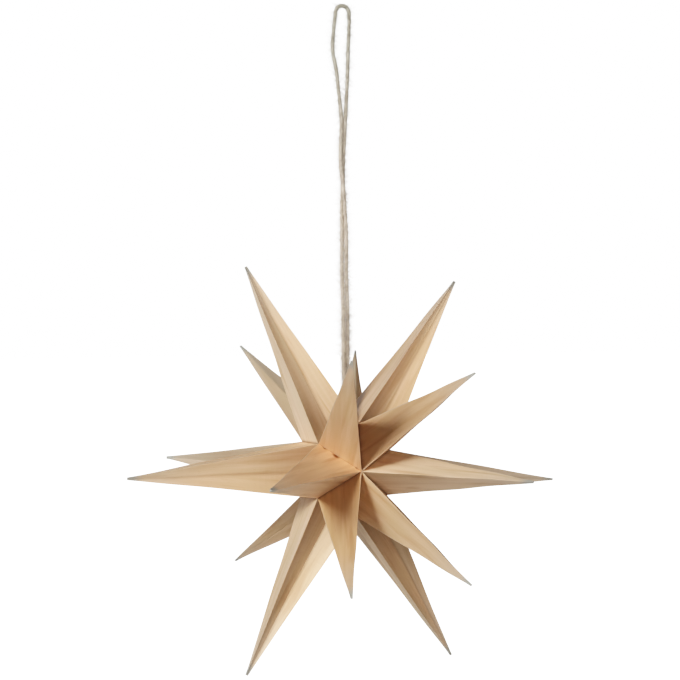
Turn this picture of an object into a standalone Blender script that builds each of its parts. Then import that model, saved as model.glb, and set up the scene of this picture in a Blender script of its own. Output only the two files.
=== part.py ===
# Hanging star ornament: six folded veneer segments around one axis, each with three
# points, and a doubled loop of natural twine that leaves the seam between the upper two.
# Units are metres, +Z is up. The origin is where a hook carries the loop, at the inner
# side of its top bend. The star's axis lies along Y, its front pole towards -Y.

import math

import bpy
import bmesh
import numpy as np
from mathutils import Vector

# The star. Reaches are measured from its centre, tilts from its middle plane, in degrees.
RING_REACH = 0.0750      # tip of a point in the middle plane
CONE_REACH = 0.0700      # tip of a point towards the front or the rear
CONE_TILT = 52.5
POLE_REACH = 0.0135      # hub where the six segments meet, front and rear
VALLEY_REACH = 0.0175    # corner of a glued face, in the valley between two segments
VALLEY_TILT = 28.0
NOTCH_REACH = 0.0140     # deepest spot between two points of one segment
NOTCH_TILT = 24.0
TIP_CUT = 0.0030         # how far a point's folds stop short of the place where they meet
SEAM_GAP = 0.0003        # between the glued faces of neighbouring segments
SEGMENT_STEP = 60.0      # turn from one segment to the next
SEAT_VALLEY = 1          # the valley that the twine leaves, between the upper two segments

# The twine and how it hangs
STAR_DROP = 0.1531       # from the hook down to the star's centre
TWINE_DIAMETER = 0.0013
STRAND_GAP = 0.0003      # between the two strands where they lie side by side
SEAT_CLEARANCE = 0.0003  # between a strand's end and the veneer

# The folds are made by hand, so each point is a little off its regular place: a turn about
# the axis and a tilt towards its pole in degrees, and a longer or shorter reach in mm.
# There is one triple for each segment, in order.
FRONT_LEAN = ((-2.6, 2.1, -0.9), (-2.8, 3.0, -2.7), (-1.2, 0.9, -0.3),
              (1.6, -2.4, 1.1), (-0.2, 1.1, -2.9), (0.9, 2.1, -4.0))
RING_LEAN = ((-4.6, 1.9, 1.0), (-2.5, 0.8, -1.2), (-2.4, 0.7, 0.3),
             (0.4, 0.3, -0.3), (1.4, 0.6, -0.3), (0.2, 0.1, -0.4))
REAR_LEAN = ((-3.0, 0.5, 0.4), (-3.2, -3.0, 1.1), (-5.5, -1.9, 0.7),
             (-2.4, -1.2, 2.9), (-0.5, 0.9, -0.8), (1.2, -1.0, -0.6))
# One triple for each valley, which lies half a step past its segment
VALLEY_LEAN = ((-2.0, 4.0, -1.4), (-2.8, 2.3, 0.2), (-5.2, -1.6, 0.0),
               (3.4, -2.5, 0.0), (1.2, -2.0, -0.3), (-7.2, -0.5, -1.4))

# Chosen points of the hanging twine: the share of its height that lies above the point,
# and how far the strand stands off the plumb line in mm.
LEFT_STRAND = ((0.0135, -2.45), (0.030, -2.70), (0.052, -3.10), (0.108, -3.55),
               (0.152, -2.4), (0.213, -1.5))
RIGHT_STRAND = ((0.0135, 2.40), (0.035, 2.40), (0.070, 2.15), (0.105, 1.9), (0.167, 1.6),
                (0.238, 1.05))
# Where both run together: the share, the pair's middle in mm and its turn in degrees. The
# last middle is counted from the valley's own place.
PAIR = ((0.275, 0.0, 0.0), (0.330, -0.35, 8.0), (0.382, -0.65, 30.0), (0.440, -0.35, 75.0),
        (0.486, -0.30, 110.0), (0.552, -0.10, 150.0), (0.653, -0.20, 172.0),
        (0.755, 0.10, 184.0), (0.822, 0.05, 190.0), (0.892, 0.10, 196.0),
        (1.000, 0.00, 190.0))
STRAND_POINTS = 35       # points of the drawn tube on each side, below the top bend
BEND_POINTS = 9

TAN = (0.60, 0.41, 0.235)


def clear_scene():
    for thing in list(bpy.data.objects):
        bpy.data.objects.remove(thing, do_unlink=True)


def material(name, colour, roughness):
    made = bpy.data.materials.new(name)
    made.use_nodes = True
    shader = made.node_tree.nodes["Principled BSDF"]
    shader.inputs["Base Color"].default_value = (*colour, 1.0)
    shader.inputs["Roughness"].default_value = roughness
    shader.inputs["Metallic"].default_value = 0.0
    made.diffuse_color = (*colour, 1.0)
    return made


def spot(reach, turn, tilt):
    # A place given from the star's centre: the turn goes about the axis from +X to +Z,
    # and the tilt is positive towards the front pole.
    a, b = math.radians(turn), math.radians(tilt)
    return Vector((reach * math.cos(b) * math.cos(a), -reach * math.sin(b),
                   reach * math.cos(b) * math.sin(a)))


def leaned(reach, turn, tilt, lean, side):
    return spot(reach + lean[2] / 1000, turn + lean[0], side * (tilt + lean[1]))


def ring_apex(index, turn):
    return leaned(RING_REACH + TIP_CUT, turn, 0, RING_LEAN[index], 1)


def fold_point(bm, apex, base):
    # A point's folded faces, from the corners around its base to its blunt end.
    end = [bm.verts.new(apex + (corner.co - apex).normalized() * TIP_CUT) for corner in base]
    for k in range(len(base)):
        following = (k + 1) % len(base)
        bm.faces.new((base[k], base[following], end[following], end[k]))
    bm.faces.new(end)


def segment_mesh(name, index):
    # One folded envelope in its own frame, with its middle fold along +X: three points on
    # a common base, closed by a glued face in the valley at each side.
    count = len(VALLEY_LEAN)
    bm = bmesh.new()
    front, rear = 1, -1
    pole, notch, valley = {}, {}, {}
    for side, lean in ((front, FRONT_LEAN[index]), (rear, REAR_LEAN[index])):
        pole[side] = bm.verts.new(spot(POLE_REACH, 0, 90 * side))
        notch[side] = bm.verts.new(spot(NOTCH_REACH, lean[0] / 2, side * NOTCH_TILT))
        for flank, place in ((1, index), (-1, (index - 1) % count)):
            valley[side, flank] = bm.verts.new(leaned(
                VALLEY_REACH, flank * SEGMENT_STEP / 2, VALLEY_TILT, VALLEY_LEAN[place], side))
        apex = leaned(CONE_REACH + TIP_CUT, 0, CONE_TILT, lean, side)
        fold_point(bm, apex, (pole[side], valley[side, 1], notch[side], valley[side, -1]))
    fold_point(bm, ring_apex(index, 0),
               (valley[front, 1], notch[front], valley[front, -1],
                valley[rear, -1], notch[rear], valley[rear, 1]))
    for flank in (1, -1):
        bm.faces.new((pole[front], valley[front, flank], valley[rear, flank], pole[rear]))
    bmesh.ops.recalc_face_normals(bm, faces=bm.faces[:])
    mesh = bpy.data.meshes.new(name)
    bm.to_mesh(mesh)
    bm.free()
    return mesh


def smooth(rows, at):
    # A curve through the rows with even tangents, read at the given values of the first column.
    rows = np.array(rows, float)
    t, v = rows[:, 0], rows[:, 1:]
    slope = np.gradient(v, t, axis=0)
    i = np.clip(np.searchsorted(t, at, side="right") - 1, 0, len(t) - 2)
    h = (t[i + 1] - t[i])[:, None]
    u = ((at - t[i])[:, None]) / h
    return ((1 + 2 * u) * (1 - u) ** 2 * v[i] + u * (1 - u) ** 2 * h * slope[i]
            + u * u * (3 - 2 * u) * v[i + 1] + u * u * (u - 1) * h * slope[i + 1])


def seat():
    # Where the pair of strands ends in the top valley: its offset along X from the plumb
    # line and its height over the star's centre, at which it clears both flanks.
    at, side = SEAT_VALLEY, SEGMENT_STEP / 2
    corner = leaned(VALLEY_REACH, at * SEGMENT_STEP + side, VALLEY_TILT, VALLEY_LEAN[at], 1)
    slopes = []
    for index in (at, at + 1):
        tip = ring_apex(index, index * SEGMENT_STEP)
        slopes.append((tip.x - corner.x) / (tip.z - corner.z))
    steep = max(math.hypot(1, s) for s in slopes)
    half = TWINE_DIAMETER + STRAND_GAP / 2 + SEAT_CLEARANCE * steep
    rise = 2 * half / (slopes[0] - slopes[1])
    return corner.x + rise * (slopes[0] + slopes[1]) / 2, corner.z + rise


def twine_points():
    seat_x, seat_z = seat()
    hang = STAR_DROP - seat_z
    spread = TWINE_DIAMETER + STRAND_GAP
    share = np.array([row[0] for row in PAIR])
    middle = np.array([row[1] for row in PAIR]) / 1000
    middle[-1] += seat_x
    both = []
    for sign, upper in ((-1, LEFT_STRAND), (1, RIGHT_STRAND)):
        turn = np.radians([row[2] for row in PAIR])
        x = middle + sign * spread / 2 * np.cos(turn)
        y = sign * spread / 2 * np.sin(turn)
        rows = [(t, x_mm / 1000, 0.0) for t, x_mm in upper]
        rows += list(zip(share, x, y))
        both.append(rows)
    lines = []
    for rows in both:
        at = np.linspace(rows[0][0], 1.0, STRAND_POINTS)
        xy = smooth(rows, at)
        lines.append([Vector((x, y, -hang * t)) for t, (x, y) in zip(at, xy)])
    # The top bend is half an ellipse from one strand to the other over the hook.
    left, right = lines[0][0], lines[1][0]
    top = TWINE_DIAMETER / 2
    bend = []
    for k in range(1, BEND_POINTS + 1):
        a = math.pi * k / (BEND_POINTS + 1)
        x = (left.x + right.x) / 2 - math.cos(a) * (right.x - left.x) / 2
        low = left.z + (right.z - left.z) * k / (BEND_POINTS + 1)
        bend.append(Vector((x, 0.0, low + (top - low) * math.sin(a))))
    return lines[0][::-1] + bend + lines[1]


def twine(name):
    points = twine_points()
    curve = bpy.data.curves.new(name, "CURVE")
    curve.dimensions = "3D"
    curve.bevel_depth = TWINE_DIAMETER / 2
    curve.bevel_resolution = 2
    curve.use_fill_caps = True
    spline = curve.splines.new("POLY")
    spline.points.add(len(points) - 1)
    for point, place in zip(spline.points, points):
        point.co = (*place, 1.0)
    made = bpy.data.objects.new(name, curve)
    made.data.materials.append(material(name, (0.36, 0.30, 0.215), 0.95))
    return made


def build():
    clear_scene()
    group = bpy.data.collections.new("hanging_star_ornament")
    bpy.context.scene.collection.children.link(group)
    centre = bpy.data.objects.new("star_centre", None)
    centre.location = (0, 0, -STAR_DROP)
    group.objects.link(centre)
    for index in range(len(VALLEY_LEAN)):
        name = f"star_segment_{index + 1}"
        made = bpy.data.objects.new(name, segment_mesh(name, index))
        shade = 1.0 + 0.04 * ((index * 2) % 3 - 1)
        made.data.materials.append(material(name, tuple(c * shade for c in TAN), 0.72))
        turn = math.radians(index * SEGMENT_STEP)
        made.parent = centre
        made.rotation_euler = (0, -turn, 0)
        made.location = (SEAM_GAP * math.cos(turn), 0, SEAM_GAP * math.sin(turn))
        group.objects.link(made)
    group.objects.link(twine("twine_loop"))


build()
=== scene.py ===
import math

import bpy
import numpy as np
from mathutils import Matrix, Vector


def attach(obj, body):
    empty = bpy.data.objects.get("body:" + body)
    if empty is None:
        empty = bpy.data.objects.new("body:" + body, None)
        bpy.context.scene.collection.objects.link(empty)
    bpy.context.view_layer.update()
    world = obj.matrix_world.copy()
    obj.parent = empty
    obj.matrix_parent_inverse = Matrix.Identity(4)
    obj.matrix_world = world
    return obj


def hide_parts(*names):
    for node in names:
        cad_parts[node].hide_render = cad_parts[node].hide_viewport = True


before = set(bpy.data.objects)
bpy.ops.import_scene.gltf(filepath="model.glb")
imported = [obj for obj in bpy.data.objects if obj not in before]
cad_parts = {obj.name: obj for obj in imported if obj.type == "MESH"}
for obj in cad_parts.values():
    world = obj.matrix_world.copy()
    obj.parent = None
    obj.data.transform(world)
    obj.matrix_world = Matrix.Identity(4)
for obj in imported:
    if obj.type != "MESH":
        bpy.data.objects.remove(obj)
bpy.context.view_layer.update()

# Folded veneer star on a doubled twine loop. Metres, +Z up, origin under the loop's top bend.

camera = {
    "turn": -21.444,          # degrees, seen from the left of the star's axis
    "roll": 0.514,
    "distance": 0.57931,
    "starAside": 0.00176,     # how far the star's centre is right of the view's middle
    "starBelow": 0.04278,
    "pixelsAcross": 680,
    "pixelsPerMetre": 3011.5,  # at the star's distance
}

star = {
    "ringReach": 0.0750, "coneReach": 0.0700, "coneTilt": 52.5, "poleReach": 0.0135,
    "valleyReach": 0.0175, "valleyTilt": 28.0, "notchReach": 0.0140, "notchTilt": 24.0,
    "tipCut": 0.0030, "step": 60.0, "drop": 0.1531,
    "seam": 0.00002,          # hairline between two glued faces
    "insideShare": 0.45,      # a place inside each segment, as a share of the valley's reach
    "rows": 51, "columns": 60, "capRows": 4,
    "rowCrowding": 0.75, "columnCrowding": 0.88,
    "secondRow": 0.0004,      # right beside the first, so that the base shades evenly
    "weldWithin": 2e-7, "seed": 100,
    # How much a hand-made fold strays from straight, and the waves that it strays in: radians
    # per mm along X, Y and Z, with a phase and its change from segment to segment
    "waver": 0.00014,
    "waves": (((0.11, 0.17, 0.23), 0.4, 1.0), ((0.19, -0.13, 0.15), 0.0, 1.7),
              ((-0.14, 0.21, 0.12), 2.9, 0.7)),
}

folds = {
    # how far from the fold the veneer bends, how far the fold itself moves in, both in mm,
    # and how strong the painted highlight along the fold is
    "ridge": (0.80, 0.16, 0.80),      # from the hub to a front or rear tip
    "softRidge": (2.60, 0.40, 0.0),   # the ridge that was bent round instead of creased
    "shoulder": (0.55, 0.10, 0.0),
    "inner": (0.55, 0.10, 0.06),
    "ringEdge": (0.55, 0.13, 0.14),
    "trough": (0.95, -0.18, 0.0),
    "softRidgeOf": (3, 1),            # segment and side that have the soft ridge
    "sag": {"outer": -0.012, "inner": -0.020, "groove": -0.055, "side": -0.022},
    "sagVaries": (0.7, 0.6),          # the least, and how much more by chance
    "ripple": 0.00004,                # height of the small waves, which stop before the end
    "ripples": ((1.0, 0.011, 2.0), (0.6, 0.0053, -3.0)),  # size, length and slant
    "rippleStop": 0.3,
    "still": (0.05, 0.03),            # shares at the base and the end that stay in place
    "widest": 0.07,                   # a bend is no wider than this share of the way to the apex
    "paleWidth": 0.00050, "paleStop": 0.02,
    "ridgeFading": (0.20, 0.35),      # paleness left, and the share of the fold by which it is
    "paintedCreaseShade": (0.30, 0.0011, 1.5),    # painted shade in a trough: its darkness, half width and fall
    "paintedEdgeShade": (0.55, 0.25),         # painted shade along an outer edge: its greyness and where it is full
    # painted shade: how light each kind of face is painted at its base and past a share of its
    # length, darker groove bases and lighter outer bases standing in for light and shade near the
    # hub
    "paintedShadeOver": 0.4,
    "paintedBaseShade": {"outer": (1.10, 0.97), "inner": (1.05, 0.99), "groove": (0.82, 1.07),
               "side": (1.04, 0.97)},
}

leans = {
    # A turn and a tilt in degrees and a change of reach in mm for each segment or valley,
    # because the folds are made by hand
    "front": ((-2.6, 2.1, -0.9), (-2.8, 3.0, -2.7), (-1.2, 0.9, -0.3),
              (1.6, -2.4, 1.1), (-0.2, 1.1, -2.9), (0.9, 2.1, -4.0)),
    "ring": ((-4.6, 1.9, 1.0), (-2.5, 0.8, -1.2), (-2.4, 0.7, 0.3),
             (0.4, 0.3, -0.3), (1.4, 0.6, -0.3), (0.2, 0.1, -0.4)),
    "rear": ((-3.0, 0.5, 0.4), (-3.2, -3.0, 1.1), (-5.5, -1.9, 0.7),
             (-2.4, -1.2, 2.9), (-0.5, 0.9, -0.8), (1.2, -1.0, -0.6)),
    "valley": ((-2.0, 4.0, -1.4), (-2.8, 2.3, 0.2), (-5.2, -1.6, 0.0),
               (3.4, -2.5, 0.0), (1.2, -2.0, -0.3), (-7.2, -0.5, -1.4)),
}

veneer = {
    "pale": (0.73, 0.495, 0.31), "tan": (0.60, 0.385, 0.22), "brown": (0.43, 0.225, 0.10),
    # fold is the colour of a painted highlight along a fold; grey also paints shade along an outer
    # edge
    "olive": (0.61, 0.43, 0.235), "fold": (0.86, 0.68, 0.49), "grey": (0.50, 0.455, 0.385),
    "tip": (0.33, 0.345, 0.315),
    # seam is the colour of dark glue in a seam and also of painted shade in a trough crease
    "seam": (0.26, 0.16, 0.085), "roughness": 0.58, "gloss": 0.32, "pores": 0.55,
    "faceShift": (37.0, 53.0), "segmentShift": (211.0, 97.0),  # mm between their grains
    "grainTilt": 0.10, "usualTone": (0.95, 0.1),
    "tipWear": (0.82, 0.0055, 0.0043),  # strength, where it begins and over what it grows
    "outward": (0.55, 0.45),          # the share where greying begins and over what it grows
    "outwardGrey": 0.36,
    "sideSeam": (0.75, 0.0011),       # darkness and width
    "poleSeam": (0.40, 0.0009, 0.55, 0.12),  # the same, slant and where it is full
    "glued": {"tone": 0.7, "shade": 0.8, "seamAndCreaseShadeMask": 0.6, "shift": (500, 80)},  # hidden faces
    "tints": ((1.07, 1.13, 1.24), (0.94, 0.89, 0.88), (1.07, 1.09, 1.15),
              (1.10, 1.07, 1.09), (1.09, 1.09, 1.10), (0.84, 0.84, 0.86)),
    # Faces painted lighter or darker than the rest of their segment, to stand in for light and
    # shade, by segment, kind, side (1 front, -1 rear) and flank: how light it is and how much warmer
    # or cooler
    "paintedFaceShade": {
        (1, "outer", 1, -1): (0.86, 0.0), (1, "outer", 1, 1): (1.10, 0.0),
        (1, "groove", 1, -1): (0.85, -0.05), (1, "groove", 1, 1): (0.85, -0.05),
        (2, "groove", 1, 1): (1.25, 0.0), (2, "groove", 1, -1): (1.25, 0.0),
        (2, "side", 0, 1): (0.85, 0.0), (2, "outer", 1, 1): (0.90, 0.0),
        (2, "inner", -1, 1): (1.70, -0.20), (2, "inner", -1, -1): (1.25, 0.00),
        (3, "groove", 1, -1): (1.20, 0.0), (3, "groove", 1, 1): (0.78, 0.0),
        (3, "side", 0, 1): (1.12, -0.07), (3, "outer", 1, 1): (0.90, 0.05),
        (3, "inner", -1, 1): (0.80, -0.05), (3, "inner", -1, -1): (0.65, -0.12),
        (4, "outer", 1, -1): (1.18, 0.04), (4, "groove", 1, -1): (0.88, 0.0),
        (4, "groove", 1, 1): (1.04, 0.0), (4, "outer", 1, 1): (1.02, -0.04),
        (4, "inner", -1, 1): (0.80, -0.08), (4, "inner", -1, -1): (0.62, -0.12),
        (5, "groove", 1, 1): (1.45, -0.06), (5, "groove", 1, -1): (0.56, 0.06),
        (5, "outer", 1, -1): (0.75, 0.10), (5, "side", 0, -1): (0.79, -0.02),
        (5, "inner", -1, -1): (0.82, 0.0), (5, "inner", -1, 1): (0.88, 0.0),
        (6, "side", 0, -1): (1.15, -0.10), (6, "groove", 1, 1): (0.82, 0.0),
        (6, "groove", 1, -1): (0.83, 0.08),
    },
    # Dark spots along a glued seam: share of the way from hub to valley, strength, size in
    # mm and mm out on the later segment
    "spots": ((0.58, 2.4, 0.85, 0.70), (0.85, 0.9, 0.65, 0.20), (0.12, 0.8, 0.36, 0.0)),
    "spotDepth": 0.00012,
    "tightSeam": 3,           # the segment whose front seam with the one before is closed
}

wearAndPaintedLightMasks = ("foldHighlightMask", "tipMask", "seamAndCreaseShadeMask", "edgeShadeMask", "outward")


# Camera
def makeCamera():
    # A camera with a level line of sight, whose middle of view lies above and a little left
    # of the star's centre.
    c = camera
    a, r = math.radians(c["turn"]), math.radians(c["roll"])
    back = Vector((math.sin(a), -math.cos(a), 0))
    right = Vector((math.cos(a), math.sin(a), 0))
    up = Vector((0, 0, 1))
    centre = Vector((0, 0, -star["drop"]))
    place = centre - right * c["starAside"] + up * c["starBelow"] + back * c["distance"]
    turned = (right * math.cos(r) - up * math.sin(r), up * math.cos(r) + right * math.sin(r))
    data = bpy.data.cameras.new("photoCamera")
    data.sensor_width = 36.0
    data.lens = 36.0 * c["distance"] * c["pixelsPerMetre"] / c["pixelsAcross"]
    data.clip_start, data.clip_end = 0.01, 60.0
    made = bpy.data.objects.new("photoCamera", data)
    bpy.context.scene.collection.objects.link(made)
    rows = Matrix((turned[0], turned[1], back)).transposed().to_4x4()
    made.matrix_world = Matrix.Translation(place) @ rows
    bpy.context.scene.camera = made
    print("camera placed")


makeCamera()


# Shared helpers
def spot(reach, turn, tilt):
    # A place from the star's centre: turned about the axis from +X to +Z, tilted to the front.
    a, b = np.radians(turn), np.radians(tilt)
    return reach * np.array((np.cos(b) * np.cos(a), -np.sin(b), np.cos(b) * np.sin(a)))


def leaned(reach, turn, tilt, lean, side):
    return spot(reach + lean[2] / 1000, turn + lean[0], side * (tilt + lean[1]))


def link(name, mesh, material):
    made = bpy.data.objects.new(name, mesh)
    bpy.context.scene.collection.objects.link(made)
    mesh.materials.append(material)
    return made


def smoothStep(x):
    x = np.clip(x, 0, 1)
    return x * x * (3 - 2 * x)


def unit(v):
    return v / np.maximum(np.linalg.norm(v, axis=-1, keepdims=True), 1e-12)


# Node helpers
def addNode(tree, kind, place, inputs=None, **values):
    made = tree.nodes.new(kind)
    made.location = place
    for key, value in values.items():
        setattr(made, key, value)
    for key, value in (inputs or {}).items():
        made.inputs[key].default_value = value
    return made


def addRamp(tree, place, *ends):
    made = addNode(tree, "ShaderNodeValToRGB", place)
    for element, (position, colour) in zip(made.color_ramp.elements, ends):
        element.position = position
        element.color = (*colour, 1)
    return made


def gridQuads(i):
    # The four-sided faces of a grid of point numbers.
    return np.stack([i[:-1, :-1], i[:-1, 1:], i[1:, 1:], i[1:, :-1]], -1).reshape(-1, 4)


def grainGroup():
    # Straight wood grain on a face: soft bands, fine fibres, short dark pores and rare warm
    # streaks, all noise stretched along the point. Coordinates are in mm.
    g = bpy.data.node_groups.new("veneerGrain", "ShaderNodeTree")
    for name, kind in (("Grain Place", "NodeSocketVector"), ("Pale", "NodeSocketColor"),
                       ("Tan", "NodeSocketColor"), ("Brown", "NodeSocketColor"),
                       ("Olive", "NodeSocketColor"), ("Tone", "NodeSocketFloat"),
                       ("Pores", "NodeSocketFloat")):
        g.interface.new_socket(name, in_out="INPUT", socket_type=kind)
    for name, kind in (("Color", "NodeSocketColor"), ("Height", "NodeSocketFloat"),
                       ("Roughness", "NodeSocketFloat")):
        g.interface.new_socket(name, in_out="OUTPUT", socket_type=kind)
    links = g.links
    start = addNode(g, "NodeGroupInput", (-1400, 0))
    end = addNode(g, "NodeGroupOutput", (1100, 0))

    def stretched(y, along, across, detail, rough=0.5, shift=0.0, wander=0.0):
        mapping = addNode(g, "ShaderNodeMapping", (-1150, y),
                          {"Scale": (along, across, 1), "Location": (shift, shift * 0.7, shift)})
        noise = addNode(g, "ShaderNodeTexNoise", (-950, y), {
            "Scale": 1.0, "Detail": detail, "Roughness": rough, "Distortion": wander})
        links.new(start.outputs["Grain Place"], mapping.inputs["Vector"])
        links.new(mapping.outputs["Vector"], noise.inputs["Vector"])
        return noise.outputs["Fac"]

    def ranged(value, low, high, y):
        made = addNode(g, "ShaderNodeMapRange", (-700, y), {"From Min": low, "From Max": high},
                       interpolation_type="SMOOTHSTEP")
        links.new(value, made.inputs["Value"])
        return made.outputs["Result"]

    def maths(op, a, b, y, x=-450):
        made = addNode(g, "ShaderNodeMath", (x, y), operation=op)
        for socket, value in zip(made.inputs, (a, b)):
            if isinstance(value, float):
                socket.default_value = value
            else:
                links.new(value, socket)
        return made.outputs[0]

    def mixed(share, under, over, y, x):
        made = addNode(g, "ShaderNodeMix", (x, y), data_type="RGBA", blend_type="MIX")
        for key, value in ((0, share), (6, under), (7, over)):
            links.new(value, made.inputs[key])
        return made.outputs[2]

    bands = stretched(500, along=0.020, across=0.42, detail=3, wander=0.5)
    wide = stretched(300, along=0.045, across=0.13, detail=2, shift=11.0, wander=0.4)
    fibres = stretched(100, along=0.085, across=2.6, detail=5, rough=0.62, shift=3.0, wander=0.25)
    pores = stretched(-100, along=0.55, across=7.0, detail=2, shift=7.0)
    warm = stretched(-300, along=0.030, across=0.34, detail=3, shift=19.0, wander=0.6)
    toneShift = maths("MULTIPLY_ADD", start.outputs["Tone"], 0.34, 700)
    toneShift.node.inputs[2].default_value = -0.17
    bandMix = maths("ADD", ranged(bands, 0.28, 0.74, 500), toneShift, 500)
    base = mixed(bandMix, start.outputs["Pale"], start.outputs["Tan"], 500, -150)
    poreMask = maths("MULTIPLY", ranged(pores, 0.66, 0.74, -100), start.outputs["Pores"], -100)
    # Each layer over the bands: its noise, where that begins and is full, strength, colour
    layers = ((fibres, 0.36, 0.72, 0.46, "Tan"), (warm, 0.50, 0.72, 0.58, "Brown"),
              (wide, 0.42, 0.66, 0.34, "Olive"))
    for k, (noise, low, high, strength, colour) in enumerate(layers):
        y = 300 - 200 * k
        mask = maths("MULTIPLY", ranged(noise, low, high, y), strength, y)
        base = mixed(mask, base, start.outputs[colour], y, 50 + 180 * k)
    base = mixed(poreMask, base, start.outputs["Brown"], -200, 600)
    links.new(base, end.inputs["Color"])
    height = maths("MULTIPLY_ADD", fibres, 0.7, -500, 500)
    links.new(maths("MULTIPLY", poreMask, -0.6, -650), height.node.inputs[2])
    links.new(height, end.inputs["Height"])
    rough = maths("MULTIPLY_ADD", fibres, 0.18, -700, 500)
    rough.node.inputs[2].default_value = veneer["roughness"] - 0.09
    links.new(rough, end.inputs["Roughness"])
    return g


def wearAndPaintedLightGroup():
    # Wear, glue and painted light: a painted highlight along a fold, veneer that turns grey
    # towards a tip, painted shade along an outer edge, a dark end at the tip, and dark glue in a
    # seam, which also paints shade in a trough crease.
    g = bpy.data.node_groups.new("veneerWearAndPaintedLight", "ShaderNodeTree")
    g.interface.new_socket("Color", in_out="INPUT", socket_type="NodeSocketColor")
    g.interface.new_socket("Grain Place", in_out="INPUT", socket_type="NodeSocketVector")
    for name in ("Fold", "Edge", "Outward", "Tip", "Seam"):
        g.interface.new_socket(name, in_out="INPUT", socket_type="NodeSocketFloat")
    for name in ("fold", "grey", "tip", "seam"):
        made = g.interface.new_socket(name.capitalize() + " Color", in_out="INPUT",
                                      socket_type="NodeSocketColor")
        made.default_value = (*veneer[name], 1)
    g.interface.new_socket("Color", in_out="OUTPUT", socket_type="NodeSocketColor")
    start = addNode(g, "NodeGroupInput", (-1000, 0))
    end = addNode(g, "NodeGroupOutput", (900, 0))
    patch = addNode(g, "ShaderNodeTexNoise", (-800, -300), {"Scale": 0.35, "Detail": 3})
    g.links.new(start.outputs["Grain Place"], patch.inputs["Vector"])
    ragged = addNode(g, "ShaderNodeMapRange", (-600, -300),
                     {"From Min": 0.3, "From Max": 0.65, "To Min": 0.35, "To Max": 1.0})
    g.links.new(patch.outputs["Fac"], ragged.inputs["Value"])

    def times(a, b, y):
        m = addNode(g, "ShaderNodeMath", (-400, y), operation="MULTIPLY", use_clamp=True)
        g.links.new(a, m.inputs[0])
        if isinstance(b, float):
            m.inputs[1].default_value = b
        else:
            g.links.new(b, m.inputs[1])
        return m.outputs[0]

    markStrength = ragged.outputs["Result"]
    colour = start.outputs["Color"]
    # The edge step paints shade, the fold step a highlight, and the seam step also paints shade in a
    # trough crease.
    steps = ((times(start.outputs["Outward"], veneer["outwardGrey"], 200), "Grey Color", "MIX"),
             (times(start.outputs["Edge"], markStrength, 100), "Grey Color", "MIX"),
             (times(start.outputs["Fold"], markStrength, 0), "Fold Color", "MIX"),
             (start.outputs["Tip"], "Tip Color", "MIX"),
             (start.outputs["Seam"], "Seam Color", "MULTIPLY"))
    for k, (mask, name, blend) in enumerate(steps):
        m = addNode(g, "ShaderNodeMix", (-150 + 200 * k, 0), data_type="RGBA", blend_type=blend)
        g.links.new(mask, m.inputs[0])
        g.links.new(colour, m.inputs[6])
        g.links.new(start.outputs[name], m.inputs[7])
        colour = m.outputs[2]
    g.links.new(colour, end.inputs["Color"])
    return g


def veneerMaterial(name, grainTree, wearAndLightTree, tint):
    m = bpy.data.materials.new(name)
    m.use_nodes = True
    t = m.node_tree
    shader = t.nodes["Principled BSDF"]
    shader.inputs["Specular IOR Level"].default_value = veneer["gloss"]
    uv = addNode(t, "ShaderNodeUVMap", (-1200, 0), uv_map="grainPlace").outputs["UV"]
    read = {}
    for k, key in enumerate(("faceTone", *wearAndPaintedLightMasks, "faceShade")):
        read[key] = addNode(t, "ShaderNodeAttribute", (-1200, -200 * (k + 1)), attribute_name=key)
    tinted = {key.capitalize(): (*[min(1, c * k) for c, k in zip(veneer[key], tint)], 1)
              for key in ("pale", "tan", "brown", "olive")}
    wood = addNode(t, "ShaderNodeGroup", (-800, 100), {**tinted, "Pores": veneer["pores"]},
                   node_tree=grainTree)
    # The face shade attribute multiplies the wood: a random tone per face, with painted light and
    # shade on listed faces and from the base of each face to its end.
    shaded = addNode(t, "ShaderNodeMix", (-620, 100), {0: 1.0}, data_type="RGBA",
                     blend_type="MULTIPLY")
    wearAndLight = addNode(t, "ShaderNodeGroup", (-450, 100), node_tree=wearAndLightTree)
    bump = addNode(t, "ShaderNodeBump", (-250, -300), {"Strength": 0.22, "Distance": 0.00012})
    for source, target in ((uv, wood.inputs["Grain Place"]),
                           (uv, wearAndLight.inputs["Grain Place"]),
                           (read["faceTone"].outputs["Fac"], wood.inputs["Tone"]),
                           (wood.outputs["Color"], shaded.inputs[6]),
                           (read["faceShade"].outputs["Color"], shaded.inputs[7]),
                           (shaded.outputs[2], wearAndLight.inputs["Color"]),
                           (wearAndLight.outputs["Color"], shader.inputs["Base Color"]),
                           (wood.outputs["Roughness"], shader.inputs["Roughness"]),
                           (wood.outputs["Height"], bump.inputs["Height"]),
                           (bump.outputs["Normal"], shader.inputs["Normal"])):
        t.links.new(source, target)
    for key, socket in zip(wearAndPaintedLightMasks, ("Fold", "Tip", "Seam", "Edge", "Outward")):
        t.links.new(read[key].outputs["Fac"], wearAndLight.inputs[socket])
    return m


# The six veneer segments
def ringApex(index, turn):
    # Where the folds of a point in the middle plane would meet, past its blunt end.
    return leaned(star["ringReach"] + star["tipCut"], turn, 0, leans["ring"][index], 1)


def segmentCorners(index):
    # The fold corners of one segment about the star's centre, with its middle fold along +X.
    s, step = star, star["step"]
    count = len(leans["valley"])
    c = {}
    for side, key in ((1, "front"), (-1, "rear")):
        lean = leans[key][index]
        c["pole", side] = spot(s["poleReach"], 0, 90 * side)
        c["notch", side] = spot(s["notchReach"], lean[0] / 2, side * s["notchTilt"])
        c["apex", side] = leaned(s["coneReach"] + s["tipCut"], 0, s["coneTilt"], lean, side)
        for flank, place in ((1, index), (-1, (index - 1) % count)):
            c["valley", side, flank] = leaned(s["valleyReach"], flank * step / 2,
                                              s["valleyTilt"], leans["valley"][place], side)
    c["apex", 0] = ringApex(index, 0)
    return c


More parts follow.
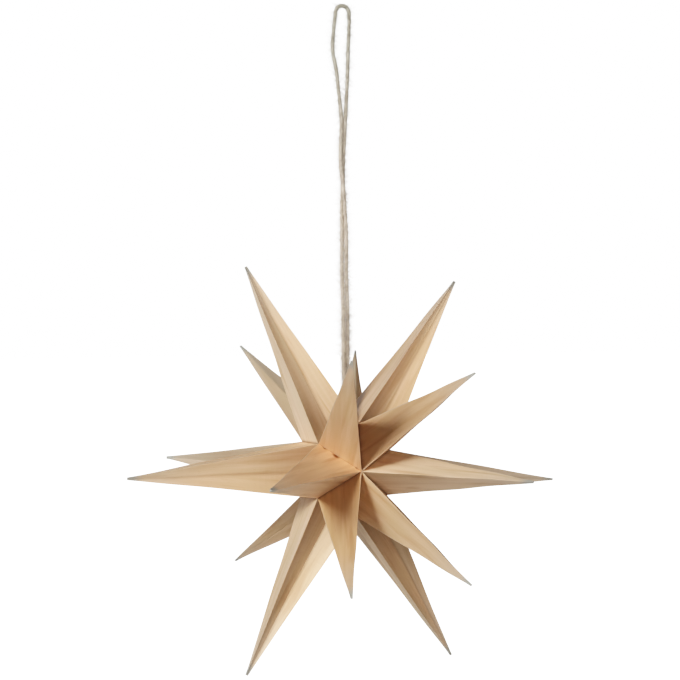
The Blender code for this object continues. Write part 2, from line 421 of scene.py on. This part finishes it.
def segmentFacets(c, index):
    # Every face as (apex, its two base corners, the fold at each, kind, side, flank).
    faces = []
    for flank in (1, -1):
        for side in (1, -1):
            v, notch = c["valley", side, flank], c["notch", side]
            ridge = "softRidge" if (index, side) == folds["softRidgeOf"] else "ridge"
            faces += [(c["apex", side], c["pole", side], v, ridge, "shoulder", "outer", side, flank),
                      (c["apex", side], v, notch, "shoulder", "inner", "inner", side, flank),
                      (c["apex", 0], v, notch, "ringEdge", "trough", "groove", side, flank)]
        faces.append((c["apex", 0], c["valley", 1, flank], c["valley", -1, flank],
                      "ringEdge", "ringEdge", "side", 0, flank))
    return faces


def crowded(n, crowding):
    # Shares from 0 to 1 that lie closer together towards both ends.
    x = np.linspace(0, 1, n)
    return x - crowding * np.sin(2 * np.pi * x) / (2 * np.pi)


def bluntEnds(faces):
    # For each face the two corners of its blunt end and the middle of the whole end.
    corners = []
    middles = {}
    for apex, a, b, _, _, kind, side, _ in faces:
        pair = [apex + unit(x - apex) * star["tipCut"] for x in (a, b)]
        corners.append((*pair, side if kind in ("outer", "inner") else 0))
        middles.setdefault(corners[-1][2], []).append((pair[0] + pair[1]) / 2)
    return [(endA, endB, np.mean(middles[key], 0)) for endA, endB, key in corners]


def segmentArrays(index):
    # Each face is a grid: a point on its base line is carried straight to the same share of
    # its blunt end's edge, and a few more rows close the end. Beside a fold the grid moves
    # along the mean normal of both faces, in from a standing fold and out of a trough, by
    # depth times (1 - distance / radius) squared, where both shrink towards the end. Between
    # its folds a face sags by 4 t (1 - t) times a part of its width, t from fold to fold.
    s, f, v = star, folds, veneer
    c = segmentCorners(index)
    faces = segmentFacets(c, index)
    inside = np.array((s["valleyReach"] * s["insideShare"], 0.0, 0.0))
    rows = np.insert(crowded(s["rows"] - 1, s["rowCrowding"]), 1, s["secondRow"])
    climb = np.concatenate([rows, np.ones(s["capRows"])])
    closing = np.concatenate([np.zeros(s["rows"]), np.linspace(0, 1, s["capRows"] + 1)[1:]])
    closing = closing[:, None, None]
    share, up = np.meshgrid(crowded(s["columns"], s["columnCrowding"]), climb)
    rng = np.random.default_rng(s["seed"] + index)
    normals = []
    for apex, a, b, *_ in faces:
        n = unit(np.cross(a - apex, b - apex))
        normals.append(n if n @ ((a + b + apex) / 3 - inside) > 0 else -n)

    def meanNormal(p, q):
        # The mean of the normals of the faces that share the fold from p to q.
        total = np.zeros(3)
        for (apex, a, b, *_), n in zip(faces, normals):
            if all(min(np.linalg.norm(x - y) for y in (apex, a, b)) < 1e-9 for x in (p, q)):
                total = total + n
        return unit(total)

    out = {key: [] for key in ("points", "quads", "uv", "tone", "shade", *wearAndPaintedLightMasks)}
    count = 0
    for k, (face, n, ends) in enumerate(zip(faces, normals, bluntEnds(faces))):
        apex, a, b, foldA, foldB, kind, side, flank = face
        endA, endB, middle = ends
        base = a + share[..., None] * (b - a)
        place = base + up[..., None] * (endA + share[..., None] * (endB - endA) - base)
        place = place + closing * (middle - place)
        width = np.linalg.norm(b - a) * (1 - up) + np.linalg.norm(endB - endA) * up
        length = np.linalg.norm((endA + endB - a - b) / 2)
        window = smoothStep(up / f["still"][0]) * smoothStep((1 - up) / f["still"][1])
        fold, edge, seam = np.zeros_like(up), np.zeros_like(up), np.zeros_like(up)
        moved = np.zeros_like(place)
        for corner, away, sort in ((a, share, foldA), (b, 1 - share, foldB)):
            radius, depth, paleness = f[sort]
            toApex = np.linalg.norm(apex - corner) * (1 - up) + s["tipCut"] * up
            reach = np.minimum(radius / 1000, f["widest"] * toApex)
            near = np.clip(1 - away * width / reach, 0, 1) ** 2 * window
            moved -= (depth / radius * reach * near)[..., None] * meanNormal(apex, corner)
            # The pale line along a fold is a painted highlight.
            line = np.clip(1 - away * width / f["paleWidth"], 0, 1)
            line = line * smoothStep((1 - up) / f["paleStop"])
            if sort == "ridge":
                least, faded = f["ridgeFading"]
                line = line * (least + (1 - least) * np.clip(1 - up / faded, 0, 1))
            # In a trough the seam mask paints shade in the crease.
            if sort == "trough":
                dark, wide, fall = f["paintedCreaseShade"]
                seam = dark * np.clip(1 - away * width / wide, 0, 1) ** fall
            # Along a shoulder the edge mask paints shade.
            if sort == "shoulder":
                grey, full = f["paintedEdgeShade"]
                edge = np.maximum(edge, grey * line * smoothStep(up / full))
            fold = np.maximum(fold, paleness * line)
        least, more = f["sagVaries"]
        sagShare = f["sag"][kind] * (least + more * rng.random())
        phases = rng.random(3) * 2 * np.pi
        ripple = sum(size * np.sin(up * length / long + slant * share + phase)
                     for (size, long, slant), phase in zip(f["ripples"], phases))
        sag = sagShare * width + f["ripple"] * ripple * smoothStep((1 - up) / f["rippleStop"])
        moved += (4 * share * (1 - share) * window * sag)[..., None] * n
        along = unit(apex - (a + b) / 2)
        sideways = np.cross(n, along)
        shift = np.array(v["faceShift"]) * (k + 1) + np.array(v["segmentShift"]) * index
        tilt = (rng.random() - 0.5) * v["grainTilt"]
        fromA = (place - a) * 1000
        uv = np.stack([fromA @ along, fromA @ sideways + tilt * (fromA @ along)], -1) + shift
        if kind == "outer" and not (side == 1 and (index, flank) in tightSeams()):
            dark, wide, slant, full = v["poleSeam"]
            seam = np.clip(1 - up * length * slant / wide, 0, 1) ** 2
            seam = dark * seam * smoothStep(share / full)
        if kind == "side":
            dark, wide = v["sideSeam"]
            seam = dark * np.clip(1 - up * length / wide, 0, 1) ** 2
        i = np.arange(up.size).reshape(up.shape) + count
        quads = gridQuads(i)
        if np.cross(b - a, apex - a) @ n < 0:
            quads = quads[:, ::-1]
        count += i.size
        least, more = v["usualTone"]
        usual = (least + more * rng.random(), 0.0)
        # A listed face gets painted light or shade; any other face gets a random tone.
        lightness, warmth = v["paintedFaceShade"].get((index + 1, kind, side, flank), usual)
        # Painted shade and light that change from the base of a face to its end.
        atBase, atEnd = f["paintedBaseShade"][kind]
        paintedBaseShade = smoothStep(up[:-1, :-1].reshape(-1, 1) / f["paintedShadeOver"])
        paintedBaseShade = atBase + (atEnd - atBase) * paintedBaseShade
        shade = lightness * paintedBaseShade * np.array((1 + warmth, 1.0, 1 - warmth, 1.0))
        fromEnd = np.linalg.norm(place - middle, axis=-1).ravel()
        markStrength, wornFrom, wornOver = v["tipWear"]
        greyFrom, greyOver = v["outward"]
        out["points"].append((place + moved).reshape(-1, 3))
        out["quads"].append(quads)
        out["uv"].append(uv.reshape(-1, 2))
        out["tone"].append(np.full(len(quads), rng.random()))
        out["shade"].append(shade)
        out["foldHighlightMask"].append(fold.ravel())
        out["tipMask"].append(markStrength * smoothStep((wornFrom - fromEnd) / wornOver))
        out["seamAndCreaseShadeMask"].append(seam.ravel())
        out["edgeShadeMask"].append(edge.ravel())
        out["outward"].append(smoothStep((up.ravel() - greyFrom) / greyOver))
    for flank in (1, -1):
        addGluedFace(out, c, flank, count)
        count += s["columns"] ** 2
    out = {key: np.concatenate(value) for key, value in out.items()}
    stray(out, index)
    addGlueSpots(out, c, index, inside)
    return out


def stray(out, index):
    # Hand-made straying: a slow wave through space, none at the centre and at the ends.
    points = out["points"]
    far = np.linalg.norm(points, axis=1) / star["ringReach"]
    wave = np.stack([np.sin(points @ np.array(bend) / 0.001 + (start + more * index))
                     for bend, start, more in star["waves"]], 1)
    fade = smoothStep(far * 1.3) * np.maximum(1 - far ** 6, 0)
    out["points"] = points + wave * (star["waver"] * fade)[:, None]


def addGlueSpots(out, c, index, inside):
    # Where glue shows in the closed seam it is dark and a little sunk.
    for number, flank in tightSeams():
        if number != index:
            continue
        pole, corner = c["pole", 1], c["valley", 1, flank]
        for along, strength, size, aside in veneer["spots"]:
            if aside and index != veneer["tightSeam"]:
                continue
            centre = pole + along * (corner - pole)
            centre = centre + unit(c["apex", 1] - centre) * aside / 1000
            close = np.exp(-np.sum((out["points"] - centre) ** 2, 1) / (size / 1000) ** 2)
            out["seamAndCreaseShadeMask"] = np.maximum(out["seamAndCreaseShadeMask"], np.minimum(strength * close, 1))
            sunk = (veneer["spotDepth"] * close)[:, None]
            out["points"] = out["points"] + sunk * unit(inside - centre)


def tightSeams():
    # The two segments and flanks that meet in the closed seam.
    return ((veneer["tightSeam"] - 1, 1), (veneer["tightSeam"], -1))


def addGluedFace(out, c, flank, count):
    # The hidden face between two segments: a grid from the pole edge to the valley edge.
    hidden = veneer["glued"]
    places = crowded(star["columns"], star["columnCrowding"])
    share, depth = (m[..., None] for m in np.meshgrid(places, places))
    poleFront, poleRear = c["pole", 1], c["pole", -1]
    valleyFront, valleyRear = c["valley", 1, flank], c["valley", -1, flank]
    place = ((1 - depth) * ((1 - share) * poleFront + share * valleyFront)
             + depth * ((1 - share) * poleRear + share * valleyRear))
    n = unit(np.cross(valleyFront - poleFront, poleRear - poleFront))
    i = np.arange(len(places) ** 2).reshape(place.shape[:2]) + count
    quads = gridQuads(i)
    if n[2] * flank < 0:
        quads = quads[:, ::-1]
    out["points"].append(place.reshape(-1, 3))
    out["quads"].append(quads)
    grainStart, grainStep = hidden["shift"]
    out["uv"].append(place[..., [0, 1]].reshape(-1, 2) * 1000 + grainStart + grainStep * flank)
    out["tone"].append(np.full(len(quads), hidden["tone"]))
    out["shade"].append(np.full((len(quads), 4), hidden["shade"]))
    for key in wearAndPaintedLightMasks:
        out[key].append(np.full(i.size, hidden.get(key, 0.0)))


def weld(points, quads):
    # Points at one place become one, and a quad that lost a corner becomes a triangle.
    _, first, index = np.unique(np.round(points / star["weldWithin"]).astype(np.int64), axis=0,
                                return_index=True, return_inverse=True)
    return points[first], index.reshape(-1)[quads], first


def makeSegment(index, material):
    made = segmentArrays(index)
    welded, faces, first = weld(made["points"], made["quads"])
    a = math.radians(index * star["step"])
    turn = np.array(((math.cos(a), 0, -math.sin(a)), (0, 1, 0), (math.sin(a), 0, math.cos(a))))
    placed = welded @ turn.T + np.array((math.cos(a), 0, math.sin(a))) * star["seam"]
    placed[:, 2] -= star["drop"]
    same = faces == np.roll(faces, -1, 1)
    keep = same.sum(1) < 2
    faces, same, quads = faces[keep], same[keep], made["quads"][keep]
    corners = np.where(same.any(1), 3, 4)
    loops, loopOld = faces[~same], quads[~same]
    mesh = bpy.data.meshes.new(f"veneer_{index + 1}")
    mesh.vertices.add(len(placed))
    mesh.vertices.foreach_set("co", placed.astype(np.float32).ravel())
    mesh.loops.add(len(loops))
    mesh.loops.foreach_set("vertex_index", loops.astype(np.int32))
    mesh.polygons.add(len(faces))
    begin = np.concatenate([[0], np.cumsum(corners)[:-1]]).astype(np.int32)
    mesh.polygons.foreach_set("loop_start", begin)
    mesh.polygons.foreach_set("use_smooth", np.ones(len(faces), bool))
    mesh.update(calc_edges=True)
    layer = mesh.uv_layers.new(name="grainPlace")
    layer.data.foreach_set("uv", made["uv"][loopOld].astype(np.float32).ravel())
    for name in wearAndPaintedLightMasks:
        values = mesh.attributes.new(name, "FLOAT", "POINT")
        values.data.foreach_set("value", made[name][first].astype(np.float32))
    values = mesh.attributes.new("faceTone", "FLOAT", "FACE")
    values.data.foreach_set("value", made["tone"][keep].astype(np.float32))
    values = mesh.attributes.new("faceShade", "FLOAT_COLOR", "FACE")
    values.data.foreach_set("color", made["shade"][keep].astype(np.float32).ravel())
    mesh.validate()
    piece = link(f"veneer_segment_{index + 1}", mesh, material)
    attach(piece, "root")
    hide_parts(f"star_segment_{index + 1}")


def makeStar():
    grain, wearAndLight = grainGroup(), wearAndPaintedLightGroup()
    for index, tint in enumerate(veneer["tints"]):
        makeSegment(index, veneerMaterial(f"woodVeneer{index + 1}", grain, wearAndLight, tint))
    print("six veneer segments folded")


makeStar()


# The twine
twine = {
    "diameter": 0.0013, "strandGap": 0.0003, "seatClearance": 0.0003, "seatValley": 1,
    # Chosen points of the hanging twine: share of the height, mm off the plumb line and, for
    # the pair, its turn in degrees. The last middle is counted from the valley's own place.
    "left": ((0.0135, -2.45), (0.030, -2.70), (0.052, -3.10), (0.108, -3.55),
             (0.152, -2.4), (0.213, -1.5)),
    "right": ((0.0135, 2.40), (0.035, 2.40), (0.070, 2.15), (0.105, 1.9), (0.167, 1.6),
              (0.238, 1.05)),
    "pair": ((0.275, 0.0, 0.0), (0.330, -0.35, 8.0), (0.382, -0.65, 30.0),
             (0.440, -0.35, 75.0), (0.486, -0.30, 110.0), (0.552, -0.10, 150.0),
             (0.653, -0.20, 172.0), (0.755, 0.10, 184.0), (0.822, 0.05, 190.0),
             (0.892, 0.10, 196.0), (1.000, 0.00, 190.0)),
    "together": (0.00136, 0.00155),  # between the strands' middles, higher up and lower down
    "togetherAt": (0.55, 0.75),      # the shares of the height where each begins
    "strandPoints": 120, "bendPoints": 24, "routePoints": 260, "rings": 1500, "ringSides": 24,
    "plyTurn": 0.0052,               # length of one full turn of the two plies
    "plyRadius": 0.00055, "plyOffset": 0.00011,
    "plySway": (0.5, 0.0071),        # how unevenly the plies turn, in radians over a length
    "swells": ((0.06, 0.0031), (0.05, 0.0011), (0.03, 0.00042)),  # share and length
    "girth": 4,                      # mm of pattern around the strand
    "pale": (0.88, 0.79, 0.69), "dark": (0.62, 0.53, 0.44), "roughness": 0.9, "gloss": 0.15,
    "fuzzPale": (0.88, 0.81, 0.71), "fuzzDark": (0.70, 0.62, 0.53),
    "grain": (0.9, 3.2, 1),          # pattern along and around the strand, per mm
    "patches": ((0.38, (0.70, 0.66, 0.62)), (0.62, (1.0, 0.98, 0.94))),
    "bendAt": 137.0, "handled": (60.0, 15.0),  # mm along, and mm from there: begins, full
    "handledTint": (0.74, 0.80, 0.80),
    # Loose fibres: how many, seed, shortest and longest, how far they stand off, half width
    "fuzz": (8200, 7, (0.0010, 0.0023), 1.3, 0.000062),
    "longHairs": (420, 11, (0.0018, 0.0046), 0.80, 0.000028),
    "sliverRows": 4, "sliverRoot": 0.30, "sliverSway": 0.55, "sliverTaper": 0.55,
    "sliverTop": 0.0006,             # how far above the bend a fibre may reach
    "sliverFree": 6,                 # rings at each end that have none
}


def smoothRows(rows, at):
    # A curve through the rows with even tangents, read at values of the first column.
    rows = np.array(rows, float)
    t, v = rows[:, 0], rows[:, 1:]
    slope = np.gradient(v, t, axis=0)
    i = np.clip(np.searchsorted(t, at, side="right") - 1, 0, len(t) - 2)
    h = (t[i + 1] - t[i])[:, None]
    u = ((at - t[i])[:, None]) / h
    return ((1 + 2 * u) * (1 - u) ** 2 * v[i] + u * (1 - u) ** 2 * h * slope[i]
            + u * u * (3 - 2 * u) * v[i + 1] + u * u * (u - 1) * h * slope[i + 1])


def twineSeat():
    # Where both strands end in the valley between the upper two segments.
    w, at = twine, twine["seatValley"]
    corner = leaned(star["valleyReach"], (at + 0.5) * star["step"], star["valleyTilt"],
                    leans["valley"][at], 1)
    slopes = []
    for index in (at, at + 1):
        tip = ringApex(index, index * star["step"])
        slopes.append((tip[0] - corner[0]) / (tip[2] - corner[2]))
    steep = max(math.hypot(1, x) for x in slopes)
    half = w["diameter"] + w["strandGap"] / 2 + w["seatClearance"] * steep
    rise = 2 * half / (slopes[0] - slopes[1])
    return corner[0] + rise * (slopes[0] + slopes[1]) / 2, corner[2] + rise


def twinePath(spread):
    perBend = twine["bendPoints"]
    seatX, seatZ = twineSeat()
    hang = star["drop"] - seatZ
    share, middle, turn = np.array(twine["pair"]).T
    middle = middle / 1000
    middle[-1] += seatX
    turn = np.radians(turn)
    lines = []
    for sign, upper in ((-1, twine["left"]), (1, twine["right"])):
        x = middle + sign * spread / 2 * np.cos(turn)
        y = sign * spread / 2 * np.sin(turn)
        rows = [(t, mm / 1000, 0.0) for t, mm in upper] + list(zip(share, x, y))
        at = np.linspace(rows[0][0], 1.0, twine["strandPoints"])
        xy = smoothRows(rows, at)
        lines.append(np.column_stack([xy, -hang * at]))
    # The top bend: half an ellipse from one strand to the other, over the hook.
    left, right = lines[0][0], lines[1][0]
    k = np.arange(1, perBend + 1) / (perBend + 1)
    x = (left[0] + right[0]) / 2 - np.cos(np.pi * k) * (right[0] - left[0]) / 2
    low = left[2] + (right[2] - left[2]) * k
    top = twine["diameter"] / 2
    bend = np.column_stack([x, np.zeros_like(x), low + (top - low) * np.sin(np.pi * k)])
    return np.concatenate([lines[0][::-1], bend, lines[1]])


def evenly(points, count):
    # The same line with its points evenly spaced.
    steps = np.linalg.norm(np.diff(points, axis=0), axis=1)
    at = np.concatenate([[0], np.cumsum(steps)])
    want = np.linspace(0, at[-1], count)
    return np.stack([np.interp(want, at, points[:, k]) for k in range(3)], 1), want


def pathFrames(path):
    # Along the line: its direction and two crossways directions, the first nearest to +Y.
    tangent = unit(np.gradient(path, axis=0))
    y = np.array((0.0, 1.0, 0.0))
    n1 = unit(y - (tangent @ y)[:, None] * tangent)
    return tangent, n1, np.cross(tangent, n1)


def twineMaterial(name, pale, dark):
    # Fibres follow the ply: noise stretched along the turn of the strand. A wider noise
    # shades it in patches, and it is greyer near the bend, where the loop is handled.
    m = bpy.data.materials.new(name)
    m.use_nodes = True
    t = m.node_tree
    shader = t.nodes["Principled BSDF"]
    shader.inputs["Roughness"].default_value = twine["roughness"]
    shader.inputs["Specular IOR Level"].default_value = twine["gloss"]
    uv = addNode(t, "ShaderNodeUVMap", (-1000, 0), uv_map="twinePlace").outputs["UV"]
    stretch = addNode(t, "ShaderNodeMapping", (-800, 0), {"Scale": twine["grain"]})
    fibre = addNode(t, "ShaderNodeTexNoise", (-600, 0), {"Scale": 1.6, "Detail": 4})
    patch = addNode(t, "ShaderNodeTexNoise", (-600, -250), {"Scale": 0.30, "Detail": 2})
    ramp = addRamp(t, (-380, 0), (0.32, dark), (0.68, pale))
    shade = addRamp(t, (-380, -250), *twine["patches"])
    mix = addNode(t, "ShaderNodeMix", (-100, 0), {0: 1.0}, data_type="RGBA",
                  blend_type="MULTIPLY")
    parts = addNode(t, "ShaderNodeSeparateXYZ", (-800, 300))
    off = addNode(t, "ShaderNodeMath", (-600, 300), {1: twine["bendAt"]}, operation="SUBTRACT")
    away = addNode(t, "ShaderNodeMath", (-450, 300), operation="ABSOLUTE")
    begins, full = twine["handled"]
    handled = addNode(t, "ShaderNodeMapRange", (-300, 300),
                      {"From Min": begins, "From Max": full, "To Min": 0.0, "To Max": 1.0})
    greyed = addNode(t, "ShaderNodeMix", (60, 0), data_type="RGBA", blend_type="MULTIPLY")
    greyed.inputs[7].default_value = (*twine["handledTint"], 1)
    bump = addNode(t, "ShaderNodeBump", (-100, -400), {"Strength": 0.6, "Distance": 0.0001})
    for source, target in ((uv, stretch.inputs["Vector"]),
                           (stretch.outputs["Vector"], fibre.inputs["Vector"]),
                           (uv, patch.inputs["Vector"]),
                           (fibre.outputs["Fac"], ramp.inputs["Fac"]),
                           (patch.outputs["Fac"], shade.inputs["Fac"]),
                           (ramp.outputs["Color"], mix.inputs[6]),
                           (shade.outputs["Color"], mix.inputs[7]),
                           (uv, parts.inputs["Vector"]),
                           (parts.outputs["X"], off.inputs[0]),
                           (off.outputs[0], away.inputs[0]),
                           (away.outputs[0], handled.inputs["Value"]),
                           (handled.outputs["Result"], greyed.inputs[0]),
                           (mix.outputs[2], greyed.inputs[6]),
                           (greyed.outputs[2], shader.inputs["Base Color"]),
                           (fibre.outputs["Fac"], bump.inputs["Height"]),
                           (bump.outputs["Normal"], shader.inputs["Normal"])):
        t.links.new(source, target)
    return m


def twineMesh(name, points, faces, uv):
    # A mesh with the place of each point along and around the twine, in mm.
    mesh = bpy.data.meshes.new(name)
    mesh.from_pydata(points.reshape(-1, 3), [], faces)
    layer = mesh.uv_layers.new(name="twinePlace")
    loops = np.zeros(len(mesh.loops), np.int32)
    mesh.loops.foreach_get("vertex_index", loops)
    layer.data.foreach_set("uv", uv.reshape(-1, 2)[loops].astype(np.float32).ravel())
    mesh.update()
    return mesh


def tubeMesh(name, place, uv):
    # Rows of points round a line made one closed tube with a flat face at each end.
    i = np.arange(uv.size // 2).reshape(place.shape[:2])
    j = np.roll(i, -1, 1)
    quads = np.stack([i[:-1], j[:-1], j[1:], i[1:]], -1).reshape(-1, 4)
    ends = [i[0][::-1].tolist(), i[-1].tolist()]
    mesh = twineMesh(name, place, quads.tolist() + ends, uv)
    mesh.polygons.foreach_set("use_smooth", np.ones(len(mesh.polygons), bool))
    mesh.update()
    return mesh


def loosePlaces(path, at, count, seed, length, lift, thickness):
    # Loose fibres: thin three-sided slivers whose middle line leaves the strand at a random
    # place and side, runs mostly along the twine and bends away from it with the square of
    # its own length. Gives the points of each sliver and its place along the twine.
    rng = np.random.default_rng(seed)
    tangent, n1, n2 = pathFrames(path)
    x = rng.random(count)
    free = twine["sliverFree"]
    x = x - 0.5 * np.sin(2 * np.pi * x) / (2 * np.pi)
    k = (free + (len(path) - 2 * free) * x).astype(int)
    turn = rng.random(count) * 2 * np.pi
    out = np.cos(turn)[:, None] * n1[k] + np.sin(turn)[:, None] * n2[k]
    cross = np.cross(out, tangent[k])
    long = length[0] + (length[1] - length[0]) * rng.random(count) ** 1.6
    rise = lift * (0.15 + 0.85 * rng.random(count))
    bend = rng.normal(0, twine["sliverSway"], count)
    ahead = np.where(rng.random(count) < 0.5, -1.0, 1.0)
    u = np.linspace(0, 1, twine["sliverRows"])

    def spread(direction, size, shape):
        return direction[:, None] * size[:, None, None] * shape[None, :, None]

    line = (path[k][:, None] + out[:, None] * twine["diameter"] * twine["sliverRoot"]
            + spread(out, long * rise, u ** 1.5)
            + spread(tangent[k], long * ahead, u * (1 - 0.25 * u * rise.mean()))
            + spread(cross, long * bend, 0.7 * u ** 2))
    thick = (thickness * (1 - twine["sliverTaper"] * u))[None, :, None, None]
    ring = np.linspace(0, 2 * np.pi, 3, endpoint=False)[None, None, :, None]
    slivers = line[:, :, None] + thick * (np.cos(ring) * cross[:, None, None]
                                          + np.sin(ring) * out[:, None, None])
    highest = twine["diameter"] / 2 + twine["sliverTop"]
    slivers[..., 2] = np.minimum(slivers[..., 2], highest)
    return slivers, at[k]


def makeFuzz(path, at):
    short = loosePlaces(path, at, *twine["fuzz"])
    long = loosePlaces(path, at, *twine["longHairs"])
    slivers = np.concatenate([short[0], long[0]])
    along = np.concatenate([short[1], long[1]])
    count, rows = slivers.shape[:2]
    i = np.arange(count * rows * 3).reshape(count, rows, 3)
    j = np.roll(i, -1, 2)
    quads = np.stack([i[:, :-1], i[:, 1:], j[:, 1:], j[:, :-1]], -1).reshape(-1, 4)
    ends = np.concatenate([i[:, 0], i[:, -1][:, ::-1]])
    uv = np.stack([np.repeat(along * 1000, rows * 3),
                   np.tile(np.arange(rows * 3) * 0.3, count)], -1)
    mesh = twineMesh("twineFuzz", slivers, quads.tolist() + ends.tolist(), uv)
    material = twineMaterial("twineFuzz", twine["fuzzPale"], twine["fuzzDark"])
    fuzz = link("twine_fuzz", mesh, material)
    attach(fuzz, "root")
    return fuzz


def makeTwine():
    # Two plies round one another: the outline's radius at an angle is offset |cos| plus the
    # root of ply radius squared less (offset sin) squared, turned steadily along the line.
    w = twine
    shares = [row[0] for row in w["pair"]]
    spread = np.interp(shares, w["togetherAt"], w["together"])
    path, at = evenly(twinePath(spread), w["rings"])
    _, n1, n2 = pathFrames(path)
    angle = np.linspace(0, 2 * np.pi, w["ringSides"], endpoint=False)
    around, along = np.meshgrid(angle, at)
    sway, swayLength = w["plySway"]
    own = around - 2 * np.pi * along / w["plyTurn"] - sway * np.sin(along / swayLength)
    offset, ply = w["plyOffset"], w["plyRadius"]
    radius = offset * np.abs(np.cos(own)) + np.sqrt(ply ** 2 - (offset * np.sin(own)) ** 2)
    swell = 1.0
    for (size, length), start in zip(w["swells"], (1.3, 2 * around, 5 * own)):
        swell = swell + size * np.sin(along / length + start)
    radius = np.minimum(radius * swell, w["diameter"] / 2)[..., None]
    place = path[:, None] + radius * (np.cos(around)[..., None] * n1[:, None]
                                      + np.sin(around)[..., None] * n2[:, None])
    uv = np.stack([along * 1000, own / (2 * np.pi) * w["girth"]], -1)
    material = twineMaterial("twineFibre", w["pale"], w["dark"])
    strand = link("twine_strand", tubeMesh("twineStrand", place, uv), material)
    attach(strand, "root")
    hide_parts("twine_loop")
    fuzz = makeFuzz(path, at)
    route, _ = evenly(twinePath(w["diameter"] + w["strandGap"]), w["routePoints"])


makeTwine()


# Floor and light
look = {
    # Scene light against picture light for a soft film-like roll-off: white stays white. The
    # points are picture light.
    "toe": 0.7, "shoulder": 0.75,
    "points": (0.02, 0.06, 0.15, 0.30, 0.50, 0.75, 0.90),
}

light = {
    # azimuth, turned from -Y towards +X, and elevation in degrees, strength, softness in degrees
    "key": (-58, 24, 0.54, 20),
    "front": (15, 2, 0.15, 40),
    "rear": (-165, 5, 0.255, 60),
    "room": 0.03,
    "floorHeight": -0.40, "floorReach": 30.0,
}


def makeStage():
    # A wide, pale, level floor well below the hanging star.
    n = 3
    line = np.linspace(-light["floorReach"], light["floorReach"], n)
    x, y = np.meshgrid(line, line)
    place = np.stack([x, y, np.full_like(x, light["floorHeight"])], -1)
    i = np.arange(n * n).reshape(n, n)
    quads = gridQuads(i)
    mesh = bpy.data.meshes.new("paleFloor")
    mesh.from_pydata(place.reshape(-1, 3), [], quads.tolist())
    m = bpy.data.materials.new("paleFloor")
    m.use_nodes = True
    shader = m.node_tree.nodes["Principled BSDF"]
    shader.inputs["Base Color"].default_value = (0.9, 0.9, 0.9, 1)
    shader.inputs["Emission Color"].default_value = (1, 1, 1, 1)
    shader.inputs["Roughness"].default_value = 0.9
    shader.inputs["Specular IOR Level"].default_value = 0.0
    seen = addNode(m.node_tree, "ShaderNodeLightPath", (-300, 0))
    m.node_tree.links.new(seen.outputs["Is Camera Ray"], shader.inputs["Emission Strength"])
    link("pale_floor", mesh, m)


def softLight(name, azimuth, elevation, strength, softness):
    # A far, broad light placed by direction. At strength 1 a white face
    # that is square to it becomes fully white.
    a, e = math.radians(azimuth), math.radians(elevation)
    back = Vector((math.sin(a) * math.cos(e), -math.cos(a) * math.cos(e), math.sin(e)))
    data = bpy.data.lights.new(name, "SUN")
    data.energy = math.pi * strength
    data.angle = math.radians(softness)
    made = bpy.data.objects.new(name, data)
    bpy.context.scene.collection.objects.link(made)
    made.location = back * 2
    made.rotation_euler = back.to_track_quat("Z", "Y").to_euler()


def makeLight():
    for name in ("key", "front", "rear"):
        softLight(name + "Light", *light[name])
    world = bpy.data.worlds.new("paleRoom")
    bpy.context.scene.world = world
    world.use_nodes = True
    tree = world.node_tree
    seen = addNode(tree, "ShaderNodeLightPath", (-600, 0))
    room = addNode(tree, "ShaderNodeMapRange", (-300, 0))
    room.inputs["To Min"].default_value = light["room"]
    room.inputs["To Max"].default_value = 1.0
    tree.nodes["Background"].inputs["Color"].default_value = (1, 1, 1, 1)
    tree.links.new(seen.outputs["Is Camera Ray"], room.inputs["Value"])
    tree.links.new(room.outputs["Result"], tree.nodes["Background"].inputs["Strength"])


def setLook():
    # The curve from scene light x to picture light d solves
    # x = (1 - shoulder) d ^ toe / (1 - shoulder d), which is 1 at 1.
    view = bpy.context.scene.view_settings
    view.view_transform, view.look = "Standard", "None"
    view.use_curve_mapping = True
    curves = view.curve_mapping
    for d in look["points"]:
        x = (1 - look["shoulder"]) * d ** look["toe"] / (1 - look["shoulder"] * d)
        curves.curves[3].points.new(x, d)
    curves.update()


makeStage()
makeLight()
setLook()
print("stage and light set")
